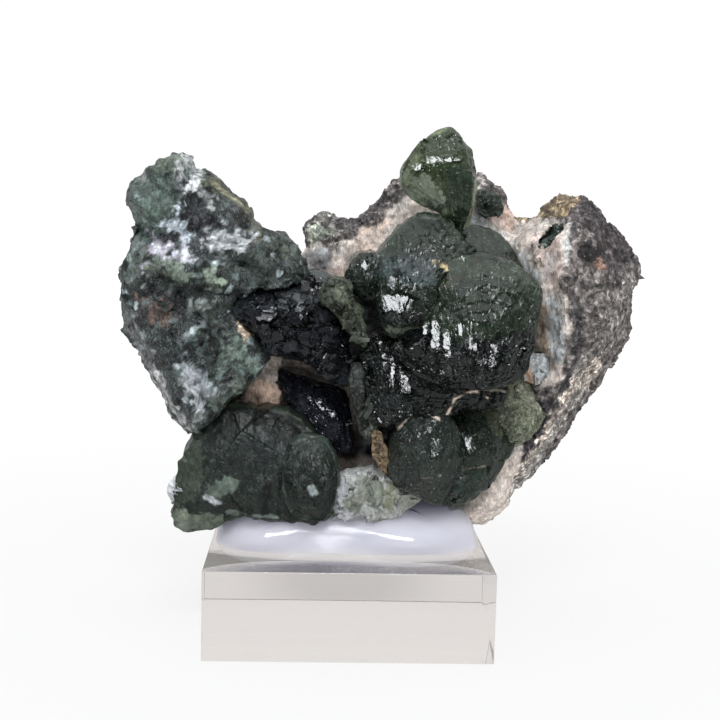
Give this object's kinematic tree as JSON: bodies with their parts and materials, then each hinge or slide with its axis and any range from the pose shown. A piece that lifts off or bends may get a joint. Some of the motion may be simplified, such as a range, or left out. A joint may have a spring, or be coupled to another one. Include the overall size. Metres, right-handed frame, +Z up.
{
  "type": "prehnite mineral specimen on a display block",
  "caption": "Mineral specimen: dark green prehnite fans and a granular crust on a broken basalt wing, held by milky glue on a square clear acrylic block.",
  "frame": {"origin": "centre of the acrylic block's underside", "axes": "+Z up, +X to the right as seen from the crystals' side, -Y towards that viewer"},
  "size_m": [0.1003, 0.0557, 0.094],
  "materials": {
    "clear_acrylic": "clear cast acrylic, polished, with edges just broken",
    "milky_glue": "milky translucent hot-melt glue, glossy",
    "basalt": "dark speckled broken rock, with a thin pinkish cream coating on its crystal-lined side",
    "granular_green": "granular grey-green crust with white frosting",
    "dark_green_prehnite": "glossy bottle-green crystal faces, nearly black, with fine stepped growth lines",
    "olive_green_prehnite": "glossy olive-green translucent crystal",
    "black_green_prehnite": "near-black glossy crystal with flat facets",
    "grey_green_prehnite": "satin grey-green translucent blade",
    "pale_green_prehnite": "pale grey-green broken crystal, translucent",
    "rust": "rough orange-brown iron stain",
    "chalky_calcite": "bluish white, waxy"
  },
  "bodies": {
    "root": {"acrylic_block": "clear_acrylic", "mounting_glue": "milky_glue", "basalt_matrix": "basalt", "prehnite_crust_left": "granular_green", "prehnite_fan_cluster": "dark_green_prehnite", "prehnite_fan_front": "dark_green_prehnite", "prehnite_blade_top": "olive_green_prehnite", "prehnite_bud_right": "olive_green_prehnite", "prehnite_fan_dark": "black_green_prehnite", "prehnite_crystal_cavity": "black_green_prehnite", "prehnite_bud_upper": "black_green_prehnite", "prehnite_blade_olive": "grey_green_prehnite", "prehnite_blade_side": "grey_green_prehnite", "prehnite_chips_base": "pale_green_prehnite", "rust_flake": "rust", "calcite_patch": "chalky_calcite", "quartz_bead": "chalky_calcite"}
  },
  "joints": []
}
